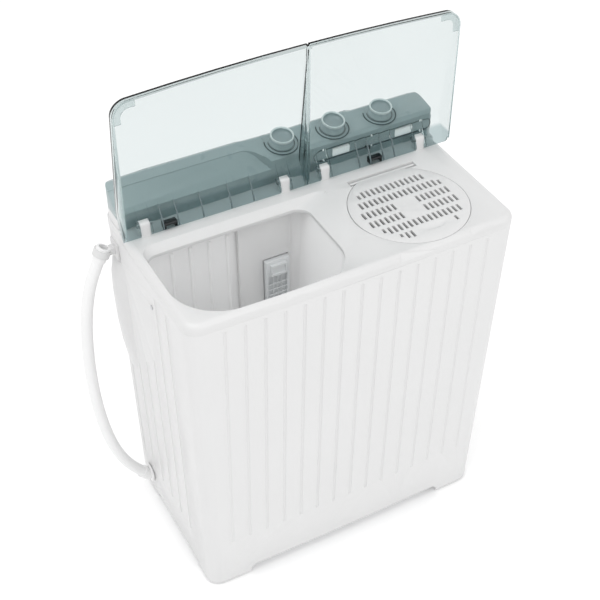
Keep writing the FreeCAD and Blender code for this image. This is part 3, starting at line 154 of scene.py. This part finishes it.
def surface(name, colour, rough, vary=0.008, grain=900.0, bump=0.08, stretch=None, **sockets):
    """A procedural surface: faint cloudiness, a fine grain and uneven gloss."""
    made = bpy.data.materials.new(name)
    made.use_nodes = True
    tree = made.node_tree
    shader = tree.nodes["Principled BSDF"]
    cloud = ranged(tree, noise(tree, 6.0), 0.0, 1.0)
    tree.links.new(
        blended(tree, cloud, shade(colour, 1 - vary), shade(colour, 1 + vary)),
        shader.inputs["Base Color"],
    )
    tree.links.new(
        ranged(tree, noise(tree, 45.0, 5.0, stretch), rough * 0.88, rough * 1.12),
        shader.inputs["Roughness"],
    )
    relief = node(tree, "ShaderNodeBump", Strength=bump, Distance=0.0004)
    tree.links.new(noise(tree, grain, 2.0, stretch), relief.inputs["Height"])
    tree.links.new(relief.outputs["Normal"], shader.inputs["Normal"])
    for socket, value in sockets.items():
        shader.inputs[socket.replace("_", " ")].default_value = value
    return made


def clear_plastic(name, colour, shade_tint, shade_top_z, absorb, density):
    """See-through plastic that darkens with depth, with a darker base colour below a given height: painted
    shade where the shadowed console front shows through the wall.
    """
    made = bpy.data.materials.new(name)
    made.use_nodes = True
    tree = made.node_tree
    shader = tree.nodes["Principled BSDF"]
    output = tree.nodes["Material Output"]
    coords = tree.nodes.new("ShaderNodeTexCoord")
    split = tree.nodes.new("ShaderNodeSeparateXYZ")
    tree.links.new(coords.outputs["Object"], split.inputs["Vector"])
    # below the given height the base colour turns to the darker tint, painted shade
    height = node(tree, "ShaderNodeMapRange", From_Min=shade_top_z - 0.002, From_Max=shade_top_z + 0.004)
    tree.links.new(split.outputs["Z"], height.inputs["Value"])
    tree.links.new(blended(tree, height.outputs["Result"], shade_tint, colour), shader.inputs["Base Color"])
    shader.inputs["Transmission Weight"].default_value = 1.0
    shader.inputs["IOR"].default_value = 1.18
    tree.links.new(ranged(tree, noise(tree, 30.0, 4.0), 0.0, 0.02), shader.inputs["Roughness"])
    passing = node(tree, "ShaderNodeBsdfTransparent", Color=(0.90, 0.93, 0.93, 1))
    path = tree.nodes.new("ShaderNodeLightPath")
    mixed = tree.nodes.new("ShaderNodeMixShader")
    tree.links.new(path.outputs["Is Shadow Ray"], mixed.inputs[0])
    tree.links.new(shader.outputs["BSDF"], mixed.inputs[1])
    tree.links.new(passing.outputs["BSDF"], mixed.inputs[2])
    tree.links.new(mixed.outputs["Shader"], output.inputs["Surface"])
    depth = node(tree, "ShaderNodeVolumeAbsorption", Color=(*absorb, 1), Density=density)
    tree.links.new(depth.outputs["Volume"], output.inputs["Volume"])
    return made


MATERIALS = {
    "body_white": surface("body_white", (0.70, 0.70, 0.70), 0.36),
    "deck_white": surface("deck_white", (0.68, 0.68, 0.68), 0.33),
    # the tub's faint glow is painted light that brightens its inside
    "tub_white": surface(
        "tub_white", (0.85, 0.85, 0.85), 0.40, Emission_Color=(1, 1, 1, 1), Emission_Strength=0.055,
    ),
    "cover_white": surface("cover_white", (0.76, 0.76, 0.76), 0.42),
    # below 0.702 m the lid's tint is darker: painted shade for the shadowed console front seen through it
    "clear_lid": clear_plastic(
        "clear_lid", (0.79, 0.83, 0.83), (0.50, 0.58, 0.59), 0.702, (0.34, 0.48, 0.48), 30.0,
    ),
    "panel_teal": surface("panel_teal", (0.30, 0.372, 0.38), 0.30, grain=500.0, bump=0.03, Coat_Weight=0.15),
    "knob_teal": surface("knob_teal", (0.42, 0.50, 0.51), 0.22, bump=0.03, Coat_Weight=0.4),
    # the next two are darker and lighter copies of the knob teal: painted shade for the knob's dish and a
    # painted highlight for its rim
    "knob_dish_shade": surface("knob_dish_shade", (0.27, 0.34, 0.35), 0.20, bump=0.03, Coat_Weight=0.5),
    "knob_rim_highlight": surface("knob_rim_highlight", (0.66, 0.73, 0.73), 0.18, bump=0.02, Coat_Weight=0.6),
    "ring_dark": surface("ring_dark", (0.05, 0.08, 0.085), 0.35),
    "grey_plastic": surface("grey_plastic", (0.58, 0.59, 0.60), 0.42),
    "black_plastic": surface("black_plastic", (0.025, 0.028, 0.03), 0.40, vary=0.15),
    "filter_blue": surface("filter_blue", (0.74, 0.76, 0.77), 0.34),
    "pulsator_blue": surface("pulsator_blue", (0.68, 0.72, 0.75), 0.32),
    # white for the labels and screw heads, with a faint glow that is painted light
    "label_white_glow": surface(
        "label_white_glow", (0.95, 0.95, 0.95), 0.30, bump=0.02,
        Emission_Color=(1, 1, 1, 1), Emission_Strength=0.12,
    ),
    "hose_white": surface("hose_white", (0.84, 0.84, 0.84), 0.38, grain=260.0, bump=0.05),
    # dark strips for the lids' rib edges: painted shade on clear plastic
    "rib_dark": surface("rib_dark", (0.11, 0.15, 0.16), 0.25, bump=0.02),
    "rubber": surface("rubber", (0.03, 0.03, 0.03), 0.75, vary=0.2, grain=600.0, bump=0.25),
    "steel": surface("steel", (0.62, 0.63, 0.64), 0.28, stretch=(1, 1, 12), Metallic=1.0),
    "steel_plate": surface("steel_plate", (0.55, 0.56, 0.57), 0.40, Metallic=1.0),
    "aluminium": surface("aluminium", (0.68, 0.69, 0.70), 0.45, grain=500.0, bump=0.2, Metallic=1.0),
    "brass": surface("brass", (0.70, 0.55, 0.28), 0.30, Metallic=1.0),
    "cast_iron": surface("cast_iron", (0.16, 0.16, 0.17), 0.62, grain=400.0, bump=0.35, Metallic=0.8),
    "motor_paint": surface("motor_paint", (0.08, 0.085, 0.09), 0.48, grain=420.0, bump=0.2),
}


# ---- mesh helpers ----
def add_piece(name, mesh, material, body):
    """Links a mesh as a piece that rides on a CAD body."""
    made = bpy.data.objects.new(name, mesh)
    bpy.context.scene.collection.objects.link(made)
    mesh.materials.append(MATERIALS[material])
    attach(made, body)
    return made


def finish_mesh(name, mesh_bm, crease_deg=35.0):
    """Turns a bmesh into a mesh, smooth except at its creases."""
    bmesh.ops.recalc_face_normals(mesh_bm, faces=mesh_bm.faces)
    mesh = bpy.data.meshes.new(name)
    mesh_bm.to_mesh(mesh)
    mesh_bm.free()
    mesh.polygons.foreach_set("use_smooth", [True] * len(mesh.polygons))
    mesh.set_sharp_from_angle(angle=math.radians(crease_deg))
    return mesh


def refine(name, bevel_mm, sharp_deg=32.0, segments=2, material=None):
    """Stands a clean copy of a CAD node in its place, with its hard edges softened."""
    source = NODES[name]
    bm = bmesh.new()
    bm.from_mesh(source.data)
    bmesh.ops.remove_doubles(bm, verts=bm.verts, dist=2e-6)
    bmesh.ops.dissolve_limit(bm, angle_limit=math.radians(0.6), verts=bm.verts, edges=bm.edges)
    hard = [e for e in bm.edges if e.is_manifold and e.calc_face_angle(0) > math.radians(sharp_deg)]
    if bevel_mm and hard:
        bmesh.ops.bevel(
            bm, geom=hard, offset=bevel_mm / 1000, segments=segments, profile=0.5,
            affect="EDGES", clamp_overlap=True,
        )
    slot = SLOTS[name]
    piece = add_piece(name + "_skin", finish_mesh(name, bm), material or slot, source["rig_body"])
    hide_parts(name)
    return piece


# ---- the drain hose ----
HOSE_ROUTE = [
    (-0.3080, 0.1160, 0.068), (-0.3220, 0.1166, 0.086), (-0.3375, 0.1176, 0.112),
    (-0.3510, 0.1190, 0.146), (-0.3620, 0.1204, 0.188), (-0.3700, 0.1218, 0.238),
    (-0.3750, 0.1232, 0.292), (-0.3770, 0.1246, 0.348), (-0.3760, 0.1262, 0.404),
    (-0.3725, 0.1278, 0.456), (-0.3660, 0.1294, 0.504), (-0.3565, 0.1310, 0.544),
    (-0.3445, 0.1324, 0.576), (-0.3320, 0.1336, 0.600),
]
HOSE_DIAMETER = 0.021


def drain_hose():
    """The pale drain hose, from the elbow spigot up to its clip."""
    curve = bpy.data.curves.new("drain_hose_line", "CURVE")
    curve.dimensions = "3D"
    spline = curve.splines.new("NURBS")
    spline.points.add(len(HOSE_ROUTE) - 1)
    for point, place in zip(spline.points, HOSE_ROUTE):
        point.co = (*place, 1)
    spline.order_u = 3
    spline.use_endpoint_u = True
    spline.resolution_u = 10
    curve.bevel_depth = HOSE_DIAMETER / 2
    curve.bevel_resolution = 8
    curve.use_fill_caps = True
    made = bpy.data.objects.new("drain_hose_line", curve)
    bpy.context.scene.collection.objects.link(made)
    curve.materials.append(MATERIALS["hose_white"])
    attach(made, "cabinet")
    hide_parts("drain_hose")


# ---- knobs and their dial marks ----
KNOB_PROFILE = [    # radius and height above the panel, in mm, from the bore over the rim into the dish
    (4.0, 10.0), (4.0, 1.2), (19.0, 1.2), (21.0, 1.2), (21.5, 2.0), (21.3, 3.2), (20.8, 5.4), (20.3, 8.0),
    (20.0, 10.6), (19.9, 13.0), (20.2, 15.0), (20.5, 16.6), (20.6, 18.0), (20.2, 19.0), (19.5, 19.5),
    (18.6, 19.4), (17.9, 18.8), (17.3, 17.3), (16.8, 15.2), (15.6, 13.2), (13.0, 12.0), (9.0, 11.3),
    (4.0, 11.0),
]
RIM_ROWS = range(10, 17)    # the rows of faces that make the knob's rim, painted lighter as a highlight; the dish after them is painted darker as shade
SCALLOPS = 18
SCALLOP_DEPTH = 0.9


def dial_frame(joint):
    """The matrix of a dial: its foot on the panel, Z along its axis."""
    axis = Vector(JOINTS[joint]["axis"]).normalized()
    across = Vector((1, 0, 0))
    turn = Matrix((across, axis.cross(across), axis)).transposed().to_4x4()
    return Matrix.Translation(JOINTS[joint]["pos_m"]) @ turn


def scallop(radius, height, angle):
    """The knob's rim is notched where fingers grip it."""
    share = max(0.0, 1 - abs(height - 17.0) / 3.2)
    notch = (0.5 + 0.5 * math.cos(SCALLOPS * angle)) ** 3
    return radius - SCALLOP_DEPTH * share * notch * (1 if radius > 19.0 else 0.25)


def make_knob(node_name, joint, body):
    """A dished knob with a scalloped rim, in place of a CAD knob; the rim is a painted highlight in lighter
    teal, the dish painted shade in darker teal.
    """
    steps = SCALLOPS * 8
    bm = bmesh.new()
    rings = []
    for radius, height in KNOB_PROFILE:
        ring = []
        for step in range(steps):
            angle = 2 * math.pi * step / steps
            r = scallop(radius, height, angle) / 1000
            ring.append(bm.verts.new((r * math.cos(angle), r * math.sin(angle), height / 1000)))
        rings.append(ring)
    for number, (low, high) in enumerate(zip(rings, rings[1:])):
        for step in range(steps):
            after = (step + 1) % steps
            face = bm.faces.new((low[step], low[after], high[after], high[step]))
            face.material_index = 1 if number in RIM_ROWS else 2 if number > RIM_ROWS[-1] else 0
    for ring, material in ((rings[0], 0), (rings[-1], 2)):
        bm.faces.new(ring).material_index = material
    bm.transform(dial_frame(joint))
    piece = add_piece(node_name + "_grip", finish_mesh(node_name, bm, 50), "knob_teal", body)
    # the rim and dish faces take lighter and darker copies of the knob teal: a painted highlight and painted
    # shade
    piece.data.materials.append(MATERIALS["knob_rim_highlight"])
    piece.data.materials.append(MATERIALS["knob_dish_shade"])
    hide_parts(node_name)


DIAL_ARCS = ((0.0222, 0.0232), (0.0280, 0.0302))    # inner and outer radius of the two dark arcs: painted shadow at the knob's base, then a thin dark line further out


def dial_arcs(joint, name):
    """Two thin dark arcs on the panel round the front of a knob: painted shadow at its base and a dark line
    further out.
    """
    first, last, steps = math.radians(-205), math.radians(25), 56
    bm = bmesh.new()
    for inner, outer in DIAL_ARCS:
        columns = []
        for step in range(steps + 1):
            angle = first + (last - first) * step / steps
            columns.append([
                bm.verts.new((r * math.cos(angle), r * math.sin(angle), h))
                for r, h in ((inner, 0.0001), (inner, 0.0006), (outer, 0.0006), (outer, 0.0001))
            ])
        for a, b in zip(columns, columns[1:]):
            for k in range(4):
                bm.faces.new((a[k], b[k], b[(k + 1) % 4], a[(k + 1) % 4]))
        bm.faces.new(columns[0])
        bm.faces.new(columns[-1])
    bm.transform(dial_frame(joint))
    add_piece(name, finish_mesh(name, bm), "ring_dark", "cabinet")


# ---- the console's front strip ----
CONSOLE_FRONT = 0.104
STRIP = (0.6862, 0.7068, 0.062, 0.296)    # low, high, left and right, in metres
LABEL_XS = (0.1145, 0.240)
LABEL_HALF_W = 0.0175
STRIP_SCREW_XS = (0.080, 0.175, 0.275)
SCREW_R = 0.0017


def plate_on_front(bm, outline, y0, y1):
    """A flat plate facing the front, from a closed outline of (x, z) in metres."""
    front = [bm.verts.new((x, y0, z)) for x, z in outline]
    back = [bm.verts.new((x, y1, z)) for x, z in outline]
    bm.faces.new(front)
    bm.faces.new(list(reversed(back)))
    for k in range(len(outline)):
        after = (k + 1) % len(outline)
        bm.faces.new((front[k], back[k], back[after], front[after]))


def band_on_front(bm, points, width, y0, y1):
    """A thin raised line along a run of (x, z) points on the console's front."""
    for (xa, za), (xb, zb) in zip(points, points[1:]):
        length = math.hypot(xb - xa, zb - za)
        nx, nz = (za - zb) / length * width / 2, (xb - xa) / length * width / 2
        outline = [(xa - nx, za - nz), (xb - nx, zb - nz), (xb + nx, zb + nz), (xa + nx, za + nz)]
        plate_on_front(bm, outline, y0, y1)


def console_strip():
    """The round-ended strip along the console's front: dark edges, a painted shadow line below it, white
    labels and screw heads with a faint painted glow.
    """
    front = CONSOLE_FRONT
    low, high, left, right = STRIP
    r = (high - low) / 2
    ends = []
    for centre, start in ((right - r, -90), (left + r, 90)):
        for step in range(13):
            angle = math.radians(start + 15 * step)
            ends.append((centre + r * math.cos(angle), low + r + r * math.sin(angle)))
    edge = bmesh.new()
    band_on_front(edge, ends + ends[:1], 0.0012, front - 0.0005, front + 0.0001)
    # a painted shadow: a dark line just under the strip
    shadow_line = [(left + r, low - 0.0006), (right - r, low - 0.0006)]
    band_on_front(edge, shadow_line, 0.0022, front - 0.0006, front + 0.0001)
    add_piece("console_strip_edge", finish_mesh("console_strip_edge", edge), "ring_dark", "cabinet")
    # white labels, and then screw heads, in a material with a faint painted glow
    labels = bmesh.new()
    for x in LABEL_XS:
        foot, head = low + 0.0012, high - 0.0060
        outline = [(x - LABEL_HALF_W, foot), (x + LABEL_HALF_W, foot)]
        outline += [(x + LABEL_HALF_W, head), (x - LABEL_HALF_W, head)]
        plate_on_front(labels, outline, front - 0.0002, front + 0.0030)
    mesh = finish_mesh("console_labels", labels)
    add_piece("console_labels", mesh, "label_white_glow", "cabinet")
    dots = bmesh.new()
    for x in STRIP_SCREW_XS:
        for z in (low, high):
            angles = [k * math.pi / 8 for k in range(16)]
            ring = [(x + SCREW_R * math.cos(a), z + SCREW_R * math.sin(a)) for a in angles]
            plate_on_front(dots, ring, front - 0.0012, front + 0.0001)
    mesh = finish_mesh("console_strip_screws", dots)
    add_piece("console_strip_screws", mesh, "label_white_glow", "cabinet")


# ---- corner webs of the lids ----
def lid_corner(name, side, body):
    """The clear web that stiffens a lid's outer far corner, on the rims' free edges."""
    centre_x, centre_z, outer, inner = side * 0.278, 0.9112, 0.0258, 0.0150
    bm = bmesh.new()
    arc = [math.radians(90 + side * a) for a in range(0, -91, -6)]
    outline = [(centre_x - side * 0.010, centre_z + outer)]
    outline += [(centre_x + outer * math.cos(a), centre_z + outer * math.sin(a)) for a in arc]
    outline += [(centre_x + side * outer, centre_z - 0.010), (centre_x + side * inner, centre_z - 0.010)]
    outline += [(centre_x + inner * math.cos(a), centre_z + inner * math.sin(a)) for a in reversed(arc)]
    outline.append((centre_x - side * 0.010, centre_z + inner))
    plate_on_front(bm, outline, 0.0555, 0.0580)
    add_piece(name, finish_mesh(name, bm), "clear_lid", body)


# ---- painted shade on the edges of the lids' ribs ----
RIB_FRONT = (    # the front edge of a rib, as (y, z) in metres
    (0.0664, 0.6757), (0.0657, 0.6800), (0.0697, 0.6905), (0.0767, 0.7015), (0.0853, 0.7125),
)
RIB_XS = {"wash_lid": (-0.236, -0.209, -0.165, -0.114, -0.073), "spin_lid": (0.131, 0.153, 0.179, 0.201)}

RIB_EDGE_W = 0.0018
RIB_EDGE_DEPTH = 0.0016


def rib_edge_shade(body):
    """A dark strip on the free edge of each rib along a lid's hinge side: painted shade on the clear
    plastic.
    """
    half = RIB_EDGE_W / 2
    bm = bmesh.new()
    for x in RIB_XS[body]:
        rows = []
        for y, z in RIB_FRONT:
            rows.append([
                bm.verts.new((x + dx, y + dy, z))
                for dx, dy in ((-half, 0.0), (half, 0.0), (half, RIB_EDGE_DEPTH), (-half, RIB_EDGE_DEPTH))
            ])
        for low, high in zip(rows, rows[1:]):
            for k in range(4):
                bm.faces.new((low[k], low[(k + 1) % 4], high[(k + 1) % 4], high[k]))
        bm.faces.new(rows[0])
        bm.faces.new(rows[-1])
    add_piece(body + "_rib_edge_shade", finish_mesh(body + "_rib_edge_shade", bm), "rib_dark", body)


# ---- floor, light and world ----
def make_floor():
    """A plain pale studio floor."""
    bm = bmesh.new()
    bmesh.ops.create_grid(bm, x_segments=8, y_segments=8, size=9.0)
    floor = bpy.data.objects.new("floor", finish_mesh("floor", bm))
    bpy.context.scene.collection.objects.link(floor)
    floor.location.z = CAD_BOX[0].z - 0.0005
    white = surface("floor_white", (0.93, 0.93, 0.93), 0.55, vary=0.0, bump=0.0)
    white.node_tree.nodes["Principled BSDF"].inputs["Emission Color"].default_value = (1, 1, 1, 1)
    white.node_tree.nodes["Principled BSDF"].inputs["Emission Strength"].default_value = 0.14
    floor.data.materials.append(white)


def area_light(name, place, aim, size, watts):
    """A soft square lamp."""
    data = bpy.data.lights.new(name, "AREA")
    data.shape = "SQUARE"
    data.size = size
    data.energy = watts
    lamp = bpy.data.objects.new(name, data)
    bpy.context.scene.collection.objects.link(lamp)
    lamp.location = place
    lamp.rotation_euler = (Vector(aim) - Vector(place)).to_track_quat("-Z", "Y").to_euler()


def make_light():
    """A bright white room with one broad lamp over the left rear and a weak fill."""
    scene = bpy.context.scene
    scene.view_settings.view_transform = "Standard"
    world = bpy.data.worlds.new("studio")
    world.use_nodes = True
    world.node_tree.nodes["Background"].inputs["Color"].default_value = (1, 1, 1, 1)
    world.node_tree.nodes["Background"].inputs["Strength"].default_value = 0.88
    scene.world = world
    area_light("key", (-1.2, -0.4, 3.6), (0, 0, 0.4), 3.0, 40)
    area_light("fill", (1.2, -3.2, 2.6), (0, 0, 0.4), 2.6, 20)


make_camera()
drain_hose()

for knob_node, knob_joint, knob_body in (
    ("wash_timer_knob", "wash_timer_turn", "wash_timer_dial"),
    ("drain_selector_knob", "drain_selector_turn", "selector_dial"),
    ("spin_timer_knob", "spin_timer_turn", "spin_timer_dial"),
):
    make_knob(knob_node, knob_joint, knob_body)
    # dark arcs round the knob: painted shadow at its base and a dark line further out
    dial_arcs(knob_joint, knob_node.replace("knob", "scale"))

console_strip()
lid_corner("wash_lid_corner", -1, "wash_lid")
lid_corner("spin_lid_corner", 1, "spin_lid")

rib_edge_shade("wash_lid")
rib_edge_shade("spin_lid")

REFINED = {
    "outer_casing": 1.2, "top_deck": 1.2, "console_housing": 0.8, "control_panel": 0.7,
    "spin_grille_lid": 0.5, "wash_lid": 0.5, "spin_lid": 0.5, "wash_tub": 0.8,
    "filter_channel_cover": 0.5, "lint_filter": 0.3, "rear_cover": 0.4, "base_tray": 0.6,
}
for name, width in REFINED.items():
    refine(name, width, material="cover_white" if name == "filter_channel_cover" else None)

for name, made in NODES.items():
    if not made.hide_render:
        made.data.materials.clear()
        made.data.materials.append(MATERIALS["panel_teal" if name == "dial_rings" else SLOTS[name]])

make_floor()
make_light()
